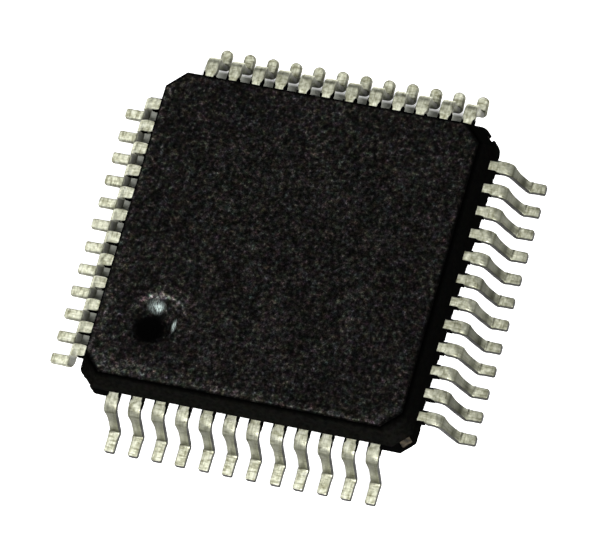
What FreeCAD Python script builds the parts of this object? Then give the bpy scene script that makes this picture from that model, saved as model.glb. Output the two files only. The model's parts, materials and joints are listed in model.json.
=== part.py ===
"""Quad flat pack chip: a low-profile moulded package with gull-wing leads on all four sides.

Frame: millimetres, +Z up, origin on the seating plane under the middle of the lead frame. The front side
looks along -Y, and the pin-one dimple is at the -X, -Y corner. Sides count counter-clockwise from above:
0 front, 1 right, 2 back, 3 left. A side's own coordinates are u along the side, s outward and z.
"""
import FreeCAD, Part
import math
import os

from FreeCAD import Vector

# Lead frame
SIDES = 4
LEADS_A_SIDE = 12
LEAD_PITCH = 0.5
LEAD_THICK = 0.127
LEAD_WIDE = 0.21
STUB_OUT = 0.03
NECK_SHARE = 0.5
END_MARGIN = 0.75
LEAD_REACH = 1.0

# Forming of a lead: convex shoulder, leg, concave heel and flat foot. The right and back sides were formed
# a little further out, so their feet have a shorter flat.
SHOULDER_INSIDE = 0.063
HEEL_INSIDE = 0.07
BEND_FLATS = 3
LEG_ANGLES = [75.5, 70.0, 75.0, 75.5]
FOOT_FLATS = [0.37, 0.28, 0.29, 0.37]

# Fingers inside the mould, measured inward from its parting edge
FINGER_LONG = 1.22
FINGER_STRAIGHT = 0.25
FINGER_TIP_INSET = 0.575
FINGER_TIP_WIDE = 0.155

# Moulded body
STANDOFF = 0.10
LOWER_DEPTH = 0.69
UPPER_DEPTH = 0.583
MOULD_OFFSET = 0.065
UPPER_DRAFT = 17.0
LOWER_DRAFT = 18.0
LOWER_STEP = 0.06
CORNER_CUT = 0.34
TOP_CORNER_CUT = 0.37
EDGE_ROUND = 0.03
DIMPLE_WIDE = 0.92
DIMPLE_DEEP = 0.10
DIMPLE_INSET = 1.43

# Webs of compound left in the lead plane, by how far they stand out of the upper half. Two sides have
# webs between their leads, from the first gap to the last. Every corner has one, given on its first side,
# on its cut and on its second side.
WEB_ROOT = 0.02
FIRST_GAP_WEB = {1: 0.03, 2: 0.04}
LAST_GAP_WEB = {1: 0.15, 2: 0.04}
FIRST_CORNER_WEB = [0.06, 0.13, 0.03, 0.0]
CUT_CORNER_WEB = [0.16, 0.07, 0.0, 0.01]
SECOND_CORNER_WEB = [0.09, 0.04, 0.0, 0.07]

# Die pad and its tie bars, each cut off past or short of the mould's cut corner
PAD_GAP = 0.38
PAD_DOWNSET = 0.18
TIE_WIDE = 0.22
TIE_LEVEL_LONG = 0.26
TIE_RAMP_LONG = 0.25
TIE_OUT = [0.06, -0.04, -0.04, -0.04]
TIE_NOTCH_GAP = 0.015
TIE_NOTCH_FLOOR = [0.055, 0.0, 0.0, 0.0]

# Die and bonding
PAD_MARGIN = 0.65
DIE_THICK = 0.28
ATTACH_THICK = 0.02
ATTACH_MARGIN = 0.08
BOND_PAD_INSET = 0.09
BOND_PAD_END = 0.205
STITCH_INSET = 0.10
WIRE_THICK = 0.025
LOOP_RISE = 0.13
LOOP_SHARE = 0.35

# Heights that follow from the sizes above
LEAD_LOW = STANDOFF + LOWER_DEPTH
LEAD_TOP = LEAD_LOW + LEAD_THICK
BODY_TOP = LEAD_TOP + UPPER_DEPTH
PAD_LOW = LEAD_LOW - PAD_DOWNSET
DIE_LOW = PAD_LOW + LEAD_THICK + ATTACH_THICK
DIE_TOP = DIE_LOW + DIE_THICK

# Plan sizes that follow, from the leads in to the die
LAST_LEAD = (LEADS_A_SIDE - 1) / 2 * LEAD_PITCH
STUB_WIDE = LEAD_WIDE + 2 * STUB_OUT
SHOULDER_RADIUS = SHOULDER_INSIDE + LEAD_THICK
MOULD_HALF = LAST_LEAD + END_MARGIN
MOULD_SHIFT = Vector(-MOULD_OFFSET, 0, 0)
TIP_REACH = MOULD_HALF + LEAD_REACH
FAN_END_REACH = MOULD_HALF - FINGER_STRAIGHT
FINGER_TIP_REACH = MOULD_HALF - FINGER_LONG
FINGER_TIP_PITCH = (FINGER_TIP_REACH - FINGER_TIP_INSET) * 2 / (LEADS_A_SIDE - 1)
PAD_SIDE = 2 * (FINGER_TIP_REACH - PAD_GAP)
DIE_SIDE = PAD_SIDE - 2 * PAD_MARGIN
BOND_PAD_PITCH = (DIE_SIDE - 2 * BOND_PAD_END) / (LEADS_A_SIDE - 1)
TIE_RAMP_START = PAD_SIDE / math.sqrt(2) + TIE_LEVEL_LONG
CORNER_REACH = (2 * MOULD_HALF - CORNER_CUT) / math.sqrt(2)


def sloped(low, angle):
    """Returns how far a face that leans by an angle moves over a height."""
    return low * math.tan(math.radians(angle))


def wire_loop(points):
    """Joins points into a closed outline of straight edges."""
    return Part.makePolygon(list(points) + [points[0]])


def prism(outline, low, high):
    """Makes a plate from a plan outline of (x, y) points between two heights."""
    face = Part.Face(wire_loop([Vector(x, y, low) for x, y in outline]))
    return face.extrude(Vector(0, 0, high - low))


def stacked(rings):
    """Makes a solid from outlines that turn counter-clockwise as seen from the last, joined by flat faces."""
    faces = [Part.Face(wire_loop(rings[0][::-1])), Part.Face(wire_loop(rings[-1]))]
    for ring, following in zip(rings, rings[1:]):
        for i in range(len(ring)):
            j = (i + 1) % len(ring)
            faces.append(Part.Face(wire_loop([ring[i], ring[j], following[j], following[i]])))
    return Part.Solid(Part.Shell(faces))


def on_side(shape, side):
    """Turns a shape made for the front side to another side."""
    turned = shape.copy()
    turned.rotate(Vector(0, 0, 0), Vector(0, 0, 1), 90 * side)
    return turned


def side_axis(side):
    """Returns the outward direction of a side."""
    angle = math.radians(90 * side - 90)
    return Vector(round(math.cos(angle)), round(math.sin(angle)), 0)


def mould_reach(side):
    """Returns how far the parting edge of a side lies from the middle of the lead frame."""
    return MOULD_HALF + MOULD_SHIFT.dot(side_axis(side))


def lead_places():
    """Returns where the leads of a side lie along it."""
    return [i * LEAD_PITCH - LAST_LEAD for i in range(LEADS_A_SIDE)]


def bend_points(centre, radius, angle, outward):
    """Returns a bend's points in (s, z), from flat to leg: outward 1 for the shoulder, -1 for the heel."""
    turns = [math.radians(angle) * i / BEND_FLATS for i in range(BEND_FLATS + 1)]
    return [
        (centre[0] + outward * radius * math.sin(turn), centre[1] + outward * radius * math.cos(turn))
        for turn in turns
    ]


def heel_end(side):
    """Returns how far out the heel of a side's leads ends and the flat foot starts."""
    return TIP_REACH - FOOT_FLATS[side]


def shoulder_start(side):
    """Returns how far out the flat neck of a side's leads ends and the shoulder starts."""
    turn = math.radians(LEG_ANGLES[side])
    bends = SHOULDER_RADIUS + HEEL_INSIDE
    drop = LEAD_LOW - bends * (1 - math.cos(turn))
    return heel_end(side) - drop / math.tan(turn) - bends * math.sin(turn)


def stub_start(side):
    """Returns how far out the dam-bar stub of a side's leads starts, part of the way along the flat neck."""
    edge = mould_reach(side)
    return edge + NECK_SHARE * (shoulder_start(side) - edge)


def lead_profile(side):
    """Returns the side profile of a lead as points in (s, z): finger, neck, shoulder, leg, heel and foot."""
    angle = LEG_ANGLES[side]
    shoulder = (shoulder_start(side), LEAD_TOP - SHOULDER_RADIUS)
    heel = (heel_end(side), LEAD_THICK + HEEL_INSIDE)
    upper = [(FINGER_TIP_REACH, LEAD_TOP)]
    upper += bend_points(shoulder, SHOULDER_RADIUS, angle, 1)
    upper += bend_points(heel, HEEL_INSIDE, angle, -1)[::-1]
    upper.append((TIP_REACH, LEAD_THICK))
    lower = [(FINGER_TIP_REACH, LEAD_LOW)]
    lower += bend_points(shoulder, SHOULDER_INSIDE, angle, 1)
    lower += bend_points(heel, HEEL_INSIDE + LEAD_THICK, angle, -1)[::-1]
    lower.append((TIP_REACH, 0))
    return upper + lower[::-1]


def finger_tip_place(u):
    """Returns where the finger of the lead at u ends along the side."""
    return u / LEAD_PITCH * FINGER_TIP_PITCH


def lead_outline(side, u):
    """Returns the plan outline of the lead at u of a side: finger, neck, leg and foot, with the wide stub
    that the cut dam bar leaves from the neck to the end of the shoulder's first flat."""
    near = stub_start(side)
    first_flat = SHOULDER_RADIUS * math.sin(math.radians(LEG_ANGLES[side] / BEND_FLATS))
    far = shoulder_start(side) + first_flat
    stations = [
        (FINGER_TIP_REACH, finger_tip_place(u), FINGER_TIP_WIDE),
        (FAN_END_REACH, u, LEAD_WIDE),
        (near, u, LEAD_WIDE),
        (near, u, STUB_WIDE),
        (far, u, STUB_WIDE),
        (far, u, LEAD_WIDE),
        (TIP_REACH, u, LEAD_WIDE),
    ]
    left = [(middle - wide / 2, -s) for s, middle, wide in stations]
    right = [(middle + wide / 2, -s) for s, middle, wide in reversed(stations)]
    return left + right


def make_lead(side, u):
    """Makes the lead at u of a side, cut from its formed band by its plan outline."""
    half_band = LAST_LEAD + LEAD_PITCH
    band = Part.Face(wire_loop([Vector(-half_band, -s, z) for s, z in lead_profile(side)]))
    band = band.extrude(Vector(2 * half_band, 0, 0))
    blank = prism(lead_outline(side, u), -LEAD_THICK, LEAD_TOP + LEAD_THICK)
    return on_side(band.common(blank).removeSplitter().Solids[0], side)


def cut_square(half, cut, height):
    """Returns the eight corners of a square with cut corners, about the middle of the mould."""
    flat = half - cut
    corners = []
    for side in range(SIDES):
        turn = math.radians(90 * side)
        for u in (-flat, flat):
            x = u * math.cos(turn) + half * math.sin(turn)
            y = u * math.sin(turn) - half * math.cos(turn)
            corners.append(Vector(x, y, height) + MOULD_SHIFT)
    return corners


def upper_half():
    """Makes the upper half of the moulded body, with its rounded top edges."""
    top_half = MOULD_HALF - sloped(UPPER_DEPTH, UPPER_DRAFT)
    rings = [cut_square(MOULD_HALF, CORNER_CUT, LEAD_TOP), cut_square(top_half, TOP_CORNER_CUT, BODY_TOP)]
    solid = stacked(rings)
    rim = [edge for edge in solid.Edges if edge.BoundBox.ZMin > BODY_TOP - EDGE_ROUND]
    return solid.makeFillet(EDGE_ROUND, rim)


def lower_half():
    """Makes the lower half of the moulded body, which starts under the edge of the upper half."""
    seam_half = MOULD_HALF - LOWER_STEP
    low_half = seam_half - sloped(LEAD_TOP - STANDOFF, LOWER_DRAFT)
    return stacked([cut_square(low_half, CORNER_CUT, STANDOFF), cut_square(seam_half, CORNER_CUT, LEAD_TOP)])


def web_depth():
    """Returns how far inside the parting edge the webs and slivers are rooted in the lower half."""
    return LOWER_STEP + sloped(LEAD_THICK, LOWER_DRAFT) + WEB_ROOT


def neck_slivers(side):
    """Makes the slivers of compound beside each neck of a side, from the body to the dam-bar stub."""
    start = mould_reach(side) - web_depth()
    end = stub_start(side)
    slivers = []
    for u in lead_places():
        for hand in (-1, 1):
            inner = u + hand * LEAD_WIDE / 2
            outer = u + hand * STUB_WIDE / 2
            outline = [(inner, -start), (inner, -end), (outer, -end), (outer, -start)]
            slivers.append(on_side(prism(outline, LEAD_LOW, LEAD_TOP), side))
    return slivers


def gap_webs(side):
    """Makes the webs of compound between the leads of a side, from its first gap to its last."""
    start = mould_reach(side) - web_depth()
    growth = (LAST_GAP_WEB[side] - FIRST_GAP_WEB[side]) / (LEADS_A_SIDE - 1)
    webs = []
    for gap, u in enumerate(lead_places()[:-1]):
        out = mould_reach(side) + FIRST_GAP_WEB[side] + growth * gap
        first = u + STUB_WIDE / 2
        last = u + LEAD_PITCH - STUB_WIDE / 2
        outline = [(first, -start), (first, -out), (last, -out - growth), (last, -start)]
        webs.append(on_side(prism(outline, LEAD_LOW, LEAD_TOP), side))
    return webs


def tie_reach(corner):
    """Returns how far out the tie bar of a corner was cut off."""
    return CORNER_REACH + TIE_OUT[corner]


def corner_web(corner):
    """Makes the web of compound round a corner, from one side's last lead to the next side's first."""
    first_reach = mould_reach(corner)
    second_reach = mould_reach((corner + 1) % SIDES)
    start = LAST_LEAD + STUB_WIDE / 2
    first = first_reach + FIRST_CORNER_WEB[corner]
    second = second_reach + SECOND_CORNER_WEB[corner]
    cut = first_reach + second_reach - CORNER_CUT + CUT_CORNER_WEB[corner] * math.sqrt(2)
    outline = [
        (start, web_depth() - first_reach),
        (start, -first),
        (cut - first, -first),
        (second, second - cut),
        (second, -start),
        (second_reach - web_depth(), -start),
    ]
    web = on_side(prism(outline, LEAD_LOW, LEAD_TOP), corner)
    return web.cut(tie_notch(corner))


def tie_notch(corner):
    """Makes the slot that the trim tool leaves in a corner web past the tie bar, down to its floor."""
    half = TIE_WIDE / 2 + TIE_NOTCH_GAP
    floor = LEAD_LOW + TIE_NOTCH_FLOOR[corner]
    slot = Part.makeBox(MOULD_HALF, 2 * half, LEAD_THICK, Vector(tie_reach(corner), -half, floor))
    slot.rotate(Vector(0, 0, 0), Vector(0, 0, 1), 90 * corner - 45)
    return slot


def dimple_cutter():
    """Makes the shallow bowl of the pin-one dimple, as a ball that dips into the top face."""
    half = DIMPLE_WIDE / 2
    ball_radius = (half * half + DIMPLE_DEEP * DIMPLE_DEEP) / (2 * DIMPLE_DEEP)
    place = DIMPLE_INSET - MOULD_HALF
    centre = MOULD_SHIFT + Vector(place, place, BODY_TOP + ball_radius - DIMPLE_DEEP)
    ball = Part.makeSphere(ball_radius, centre)
    keep = Part.makeBox(DIMPLE_WIDE * 2, DIMPLE_WIDE * 2, UPPER_DEPTH)
    keep.translate(Vector(centre.x - DIMPLE_WIDE, centre.y - DIMPLE_WIDE, BODY_TOP - UPPER_DEPTH / 2))
    return ball.common(keep)


def make_body(inner):
    """Makes the moulded body around the pieces that it holds."""
    pieces = [lower_half()]
    for side in FIRST_GAP_WEB:
        pieces += gap_webs(side)
    for side in range(SIDES):
        pieces.append(corner_web(side))
        pieces += neck_slivers(side)
    solid = upper_half().fuse(pieces).removeSplitter()
    solid = solid.cut(dimple_cutter())
    return solid.cut(inner)


def tie_bar(corner):
    """Makes the tie bar of a corner, from inside the pad up a ramp to the lead plane and the cut corner."""
    turn = math.radians(90 * corner - 45)
    outward = Vector(math.cos(turn), math.sin(turn), 0)
    start = PAD_SIDE / math.sqrt(2) - TIE_WIDE
    ramp_end = TIE_RAMP_START + TIE_RAMP_LONG
    ends = (ramp_end, LEAD_LOW), (tie_reach(corner), LEAD_LOW)
    low = [(start, PAD_LOW), (TIE_RAMP_START, PAD_LOW), *ends]
    high = [(r, z + LEAD_THICK) for r, z in reversed(low)]
    half = TIE_WIDE / 2
    across = Vector(-outward.y, outward.x, 0)
    outline = [outward * r + across * -half + Vector(0, 0, z) for r, z in low + high]
    return Part.Face(wire_loop(outline)).extrude(across * TIE_WIDE)


def square_plate(side_long, low, high):
    """Makes a square plate about the middle."""
    half = side_long / 2
    return prism([(-half, -half), (half, -half), (half, half), (-half, half)], low, high)


def make_die_pad():
    """Makes the die pad with its four tie bars as one stamped piece."""
    plate = square_plate(PAD_SIDE, PAD_LOW, PAD_LOW + LEAD_THICK)
    return plate.fuse([tie_bar(corner) for corner in range(SIDES)]).removeSplitter()


def bond_wire(u):
    """Makes the bond wire of the lead at u on the front side: up from the die, over and down to the finger."""
    pad = Vector(u / LEAD_PITCH * BOND_PAD_PITCH, BOND_PAD_INSET - DIE_SIDE / 2, DIE_TOP)
    share = STITCH_INSET / (FAN_END_REACH - FINGER_TIP_REACH)
    stitch_u = finger_tip_place(u) * (1 - share) + u * share
    stitch = Vector(stitch_u, -FINGER_TIP_REACH - STITCH_INSET, LEAD_TOP)
    rise = Vector(pad.x, pad.y, DIE_TOP + LOOP_RISE)
    level = pad + (stitch - pad) * LOOP_SHARE
    bend = Vector(level.x, level.y, DIE_TOP + LOOP_RISE)
    path = [pad, rise, bend, stitch]
    across = Vector(stitch.x - pad.x, stitch.y - pad.y, 0).cross(Vector(0, 0, 1)).normalize()
    return stacked(wire_rings(path, across))


def wire_rings(path, across):
    """Returns the four-sided sections of a wire at the points of its path, mitred at each bend."""
    runs = [(b - a).normalize() for a, b in zip(path, path[1:])]
    planes = [Vector(0, 0, 1)] + [a + b for a, b in zip(runs, runs[1:])] + [Vector(0, 0, 1)]
    radius = WIRE_THICK / 2
    rings = []
    for i, point in enumerate(path):
        run = runs[max(i - 1, 0)]
        upright = run.cross(across)
        ring = []
        for corner in range(4):
            turn = math.radians(90 * corner + 45)
            arm = across * (radius * math.cos(turn)) + upright * (radius * math.sin(turn))
            ring.append(point + arm - run * (arm.dot(planes[i]) / run.dot(planes[i])))
        rings.append(ring)
    return rings


def save(name, shape):
    """Writes a sub-part."""
    shape.exportStep("parts/" + name + ".step")


def main():
    """Makes every sub-part and writes each to its own file."""
    os.makedirs("parts", exist_ok=True)
    leads = []
    for side in range(SIDES):
        for place, u in enumerate(lead_places()):
            lead = make_lead(side, u)
            leads.append(lead)
            save("lead_%02d" % (side * LEADS_A_SIDE + place + 1), lead)
    die_pad = make_die_pad()
    attach = square_plate(DIE_SIDE + 2 * ATTACH_MARGIN, DIE_LOW - ATTACH_THICK, DIE_LOW)
    die = square_plate(DIE_SIDE, DIE_LOW, DIE_TOP)
    save("die_pad", die_pad)
    save("die_attach", attach)
    save("silicon_die", die)
    wires = []
    for side, name in enumerate(["front", "right", "back", "left"]):
        group = [on_side(bond_wire(u), side) for u in lead_places()]
        wires += group
        save("bond_wires_" + name, Part.Compound(group))
    save("moulded_body", make_body(leads + [die_pad, attach, die] + wires))


main()
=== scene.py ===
"""Quad flat pack chip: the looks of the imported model, dressed over its CAD frame.

Lengths are written in millimetres and turned to metres where a mesh is made. The frame is the CAD's: +Z up, the
origin on the seating plane under the middle of the lead frame, the front side towards -Y. A side's own
coordinates are u along the side, s outward from the middle, and z.
"""

import json
import logging
import math
from dataclasses import dataclass, field
from enum import Enum
from typing import Any, Optional, Sequence, Union

import bpy
import numpy as np
from mathutils import Matrix, Vector

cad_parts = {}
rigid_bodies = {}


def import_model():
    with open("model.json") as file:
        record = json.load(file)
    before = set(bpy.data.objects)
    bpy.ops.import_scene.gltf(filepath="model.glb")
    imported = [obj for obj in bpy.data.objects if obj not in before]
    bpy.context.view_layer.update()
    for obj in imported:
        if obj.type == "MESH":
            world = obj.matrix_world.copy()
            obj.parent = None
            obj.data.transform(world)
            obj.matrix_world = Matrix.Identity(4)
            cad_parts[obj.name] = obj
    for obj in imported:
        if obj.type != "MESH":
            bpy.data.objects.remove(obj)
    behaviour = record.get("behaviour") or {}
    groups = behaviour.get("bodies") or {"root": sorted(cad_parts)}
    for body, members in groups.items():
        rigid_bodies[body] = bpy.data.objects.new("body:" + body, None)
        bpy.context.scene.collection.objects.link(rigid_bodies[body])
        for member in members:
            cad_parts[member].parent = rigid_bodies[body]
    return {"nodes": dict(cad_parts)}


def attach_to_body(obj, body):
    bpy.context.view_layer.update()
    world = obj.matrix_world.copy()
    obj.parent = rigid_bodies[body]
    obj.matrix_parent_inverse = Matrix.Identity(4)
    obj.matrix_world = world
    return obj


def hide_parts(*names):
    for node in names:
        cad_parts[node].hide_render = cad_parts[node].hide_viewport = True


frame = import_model()

LOG = logging.getLogger("quad_flat_pack")
MM = 0.001
IMAGE_WIDE = 597
SEED = 48
COMPOUND_SHARP = 30.0

Socket = bpy.types.NodeSocket
Value = Union[Socket, float]
Tone = Union[Socket, str]
Ramp = tuple[float, float, float, float]
Part = tuple[np.ndarray, list[list[int]]]


class Side(Enum):
    """The four sides of the package, counter-clockwise from above."""

    FRONT = 0
    RIGHT = 1
    BACK = 2
    LEFT = 3


class Face(Enum):
    """The places for materials on a lead."""

    PLATED = 0
    SHEARED = 1


class MouldZone(Enum):
    """The parts of the mould's surface, by number of their material."""

    SPARK_ERODED = 0
    WALL = 1


def linear(code: str) -> tuple[float, float, float, float]:
    """Turns an sRGB hex colour to linear light.

    Args:
        code: Six hex digits after a hash sign.

    Returns:
        Red, green, blue and an alpha of 1.
    """
    parts = [int(code[i : i + 2], 16) / 255 for i in (1, 3, 5)]
    red, green, blue = (p / 12.92 if p <= 0.04045 else ((p + 0.055) / 1.055) ** 2.4 for p in parts)
    return (red, green, blue, 1.0)


@dataclass(frozen=True)
class Nodes:
    """A node tree, with a short call for each kind of node that the finishes share."""

    tree: bpy.types.NodeTree

    @classmethod
    def within(cls, owner: Union[bpy.types.Material, bpy.types.World]) -> "Nodes":
        """Empties the node tree of a material or a world.

        Args:
            owner: The material or the world.

        Returns:
            The empty tree.
        """
        owner.use_nodes = True
        owner.node_tree.nodes.clear()
        return cls(owner.node_tree)

    def add(self, kind: str, inputs: Optional[dict[Any, Any]] = None, **settings: Any) -> bpy.types.Node:
        """Adds a node with its settings and links.

        Args:
            kind: The node's type name.
            inputs: For each input by name or number, the socket to link, or the hex colour or value to set.
            settings: The node's own properties.

        Returns:
            The new node.
        """
        node = self.tree.nodes.new(kind)
        for name, value in settings.items():
            setattr(node, name, value)
        for name, value in (inputs or {}).items():
            if isinstance(value, Socket):
                self.tree.links.new(value, node.inputs[name])
            else:
                node.inputs[name].default_value = linear(value) if isinstance(value, str) else value
        return node

    def place(self, kind: str = "Object") -> Socket:
        """Returns the place of the shaded point, in metres."""
        return self.add("ShaderNodeTexCoord").outputs[kind]

    def attribute(self, name: str, kind: str = "Fac") -> Socket:
        """Returns a value that the piece's vertices carry."""
        return self.add("ShaderNodeAttribute", attribute_name=name).outputs[kind]

    def operate(self, operation: str, *values: Value) -> Socket:
        """Returns the result of an operation, such as MULTIPLY, on one to three values."""
        return self.add("ShaderNodeMath", dict(enumerate(values)), operation=operation).outputs[0]

    def remap(self, value: Socket, ramp: Ramp) -> Socket:
        """Returns a value taken from a ramp's first two numbers to its last two, and held level past its ends."""
        names = ("From Min", "From Max", "To Min", "To Max")
        return self.add("ShaderNodeMapRange", {"Value": value, **dict(zip(names, ramp))}).outputs[0]

    def noise(self, place: Socket, cell_mm: float, detail: float, roughness: float = 0.5, kind: str = "Fac") -> Socket:
        """Returns a noise whose cells are about cell_mm millimetres wide."""
        inputs = {"Vector": place, "Scale": 1 / (cell_mm * MM), "Detail": detail, "Roughness": roughness}
        return self.add("ShaderNodeTexNoise", inputs).outputs[kind]

    def stretched(self, place: Socket, scale: tuple[float, float, float], turn: float = 0.0) -> Socket:
        """Returns a place that is scaled along each axis and then turned about Z, in radians."""
        inputs = {"Vector": place, "Rotation": (0.0, 0.0, turn), "Scale": scale}
        return self.add("ShaderNodeMapping", inputs).outputs[0]

    def mix(self, share: Value, under: Tone, over: Tone, blend: str = "MIX") -> Socket:
        """Returns one colour with a share of another over it, by a blend mode."""
        return self.add("ShaderNodeMix", {0: share, 6: under, 7: over}, data_type="RGBA", blend_type=blend).outputs[2]

    def tones(self, value: Socket, stops: Sequence[tuple[float, str]]) -> Socket:
        """Adds a colour ramp.

        Args:
            value: The value that picks the colour.
            stops: The ramp's places and hex colours.

        Returns:
            The colour.
        """
        node = self.add("ShaderNodeValToRGB", {"Fac": value})
        ramp = node.color_ramp.elements
        while len(ramp) < len(stops):
            ramp.new(1.0)
        for element, (place, code) in zip(ramp, stops):
            element.position = place
            element.color = linear(code)
        return node.outputs["Color"]

    def bump(self, height: Socket, deep_mm: float, strength: float) -> Socket:
        """Returns the normal of a surface with bumps up to deep_mm millimetres deep."""
        return self.add("ShaderNodeBump", {"Strength": strength, "Distance": deep_mm * MM, "Height": height}).outputs[0]

    def end(self, shader: bpy.types.Node, kind: str = "ShaderNodeOutputMaterial") -> None:
        """Links a shader to the tree's output."""
        self.add(kind, {"Surface": shader.outputs[0]})

    def finish(self, tone: Socket, metallic: Value, roughness: Value, gloss: float, normal: Socket) -> None:
        """Ends the tree with a surface.

        Args:
            tone: Its base colour.
            metallic: 1 where it is metal and 0 where it isn't.
            roughness: Its roughness.
            gloss: Its specular level, 0.5 on most surfaces.
            normal: The normal of its bumps.
        """
        inputs = {
            "Base Color": tone,
            "Metallic": metallic,
            "Roughness": roughness,
            "Specular IOR Level": gloss,
            "Normal": normal,
        }
        self.end(self.add("ShaderNodeBsdfPrincipled", inputs))


def new_material(name: str) -> tuple[bpy.types.Material, Nodes]:
    """Makes a material, and returns it and its empty node tree."""
    material = bpy.data.materials.new(name)
    return material, Nodes.within(material)


@dataclass(frozen=True)
class MouldedEpoxy:
    """Silica-filled epoxy moulding compound, transfer moulded in a steel tool.

    The spark-eroded part of the tool leaves a fine matt grain, with filler grains that catch the light. The
    polished parts, on the drafted walls and in the dimple, leave it smoother, darker and cleaner. Light and shade are
    also painted in: the grain is lifted as painted light on the front wall, inside the top's front and left edges and
    beside the dimple; it goes near-black as painted shade over the dimple's front left and under the top edge; and it
    carries painted glints in the dimple. Real filler grains are about 0.03 mm wide; here they are drawn at 0.07 mm, so
    that the render shows them.
    """

    name: str = "epoxy_spark_eroded"
    tones: tuple[tuple[float, str], ...] = (
        (0.26, "#020202"),
        (0.40, "#080807"),
        (0.50, "#131211"),
        (0.60, "#232220"),
        (0.70, "#403e3b"),
        (0.80, "#75716b"),
        (0.95, "#c9c5bd"),
    )
    roughness: float = 0.75
    gloss: float = 0.01
    grain_mm: float = 0.07
    grain_roughness: float = 0.62
    bump_mm: float = 0.010
    patch_grains: float = 14.0
    patch_share: float = 0.14
    patch_level: float = 0.075
    tint_grains: float = 1.6
    tint_share: float = 0.45
    painted_light_share: float = 0.12
    # Near-black for the polished mark and for painted shade.
    polished_and_shaded: str = "#010101"
    # The tone of the painted highlights in the dimple.
    glint_tone: str = "#bccbc7"
    glint_line_mm: float = 0.022
    glint_line_scale: tuple[float, float, float] = (1.0, 0.15, 1.0)
    glint_line_turn: float = 0.5
    glint_lined: Ramp = (0.42, 0.58, 0.18, 1.0)
    glinting: Ramp = (0.1, 0.95, 0.0, 1.0)

    def painted_glints(self, nodes: Nodes, place: Socket) -> Socket:
        """Adds the dimple's two painted glints: painted highlights, broken into fine parallel lines.

        Args:
            nodes: The material's nodes.
            place: The place on the piece.

        Returns:
            How strongly each point is painted with a glint, from 0 to 1.
        """
        drawn = nodes.stretched(place, self.glint_line_scale, self.glint_line_turn)
        lines = nodes.remap(nodes.noise(drawn, self.glint_line_mm, 2.0), self.glint_lined)
        return nodes.operate("MULTIPLY", lines, nodes.remap(nodes.attribute("glint"), self.glinting))

    def material(self) -> bpy.types.Material:
        """Builds the finish.

        Returns:
            The material, which reads the piece's painted light, polish and shade, and glint attributes.
        """
        material, nodes = new_material(self.name)
        place = nodes.place()
        grain = nodes.noise(place, self.grain_mm, 4.0, self.grain_roughness)
        patches = nodes.noise(place, self.patch_grains * self.grain_mm, 3.0)
        level = nodes.operate("MULTIPLY_ADD", patches, self.patch_share, grain)
        level = nodes.operate("SUBTRACT", level, self.patch_level)
        # Painted light: the grain is lifted where the painted light attribute is set.
        level = nodes.operate("MULTIPLY_ADD", nodes.attribute("painted_light"), self.painted_light_share, level)
        tint = nodes.noise(place, self.tint_grains * self.grain_mm, 1.0, kind="Color")
        tone = nodes.mix(self.tint_share, nodes.tones(level, self.tones), tint, "OVERLAY")
        # Polish and painted shade go near-black: the dimple's mark, shaded towards its front left, and painted shade
        # under the top edge.
        tone = nodes.mix(nodes.attribute("polish"), tone, self.polished_and_shaded)
        # Painted highlight: the glints in the dimple.
        tone = nodes.mix(self.painted_glints(nodes, place), tone, self.glint_tone)
        nodes.finish(tone, 0.0, self.roughness, self.gloss, nodes.bump(grain, self.bump_mm, 1.0))
        return material


def compound_finishes() -> list[bpy.types.Material]:
    """Makes the moulding compound's finish for each zone of the mould.

    Returns:
        The materials, by zone number.
    """
    wall = MouldedEpoxy(
        name="epoxy_polished_wall",
        tones=((0.3, "#040404"), (0.72, "#080807"), (1.05, "#121210")),
        roughness=0.55,
        gloss=0.0,
        grain_mm=0.09,
        bump_mm=0.002,
        tint_share=0.2,
        # The front wall is painted lighter.
        painted_light_share=0.4,
    )
    return [MouldedEpoxy().material(), wall.material()]


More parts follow.
